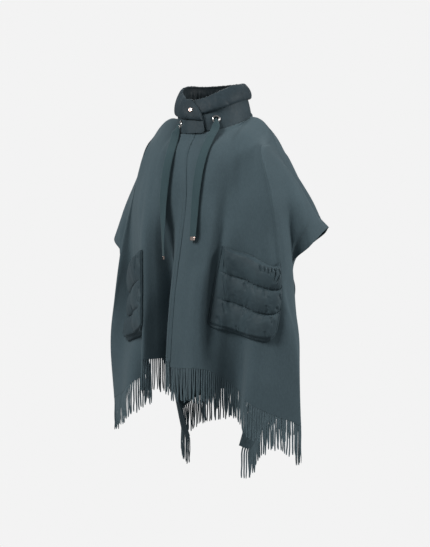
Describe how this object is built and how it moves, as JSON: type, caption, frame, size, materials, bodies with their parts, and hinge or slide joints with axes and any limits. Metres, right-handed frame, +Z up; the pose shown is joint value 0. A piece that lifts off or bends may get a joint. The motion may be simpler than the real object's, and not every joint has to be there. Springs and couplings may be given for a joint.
{
  "type": "poncho",
  "caption": "Worn felted-wool poncho with a quilted fold-over collar, flat drawstring ends, quilted patch pockets and a long fringe.",
  "frame": {"origin": "between the shoulders at the height of the neck's base, where the garment rests on its wearer", "axes": "+Z up, front faces -Y, +X towards the wearer's left hand"},
  "size_m": [0.6423, 0.4231, 1.0361],
  "materials": {
    "felted wool": "felted slate-grey wool, matt",
    "quilted nylon": "thin wadded nylon, soft sheen",
    "ribbed tape": "ribbed flat tape, matt",
    "polished metal": "polished"
  },
  "bodies": {
    "root": {"front_left": "felted wool", "front_right": "felted wool", "back": "felted wool", "fringe_left": "felted wool", "fringe_right": "felted wool", "fringe_back": "felted wool", "collar_stand": "quilted nylon", "collar_roll": "quilted nylon", "eyelet_left": "polished metal", "eyelet_right": "polished metal", "snap": "polished metal", "tape_left": "ribbed tape", "tape_right": "ribbed tape", "tape_tip_left": "polished metal", "tape_tip_right": "polished metal", "pocket_left": "quilted nylon", "pocket_right": "quilted nylon"}
  },
  "joints": []
}
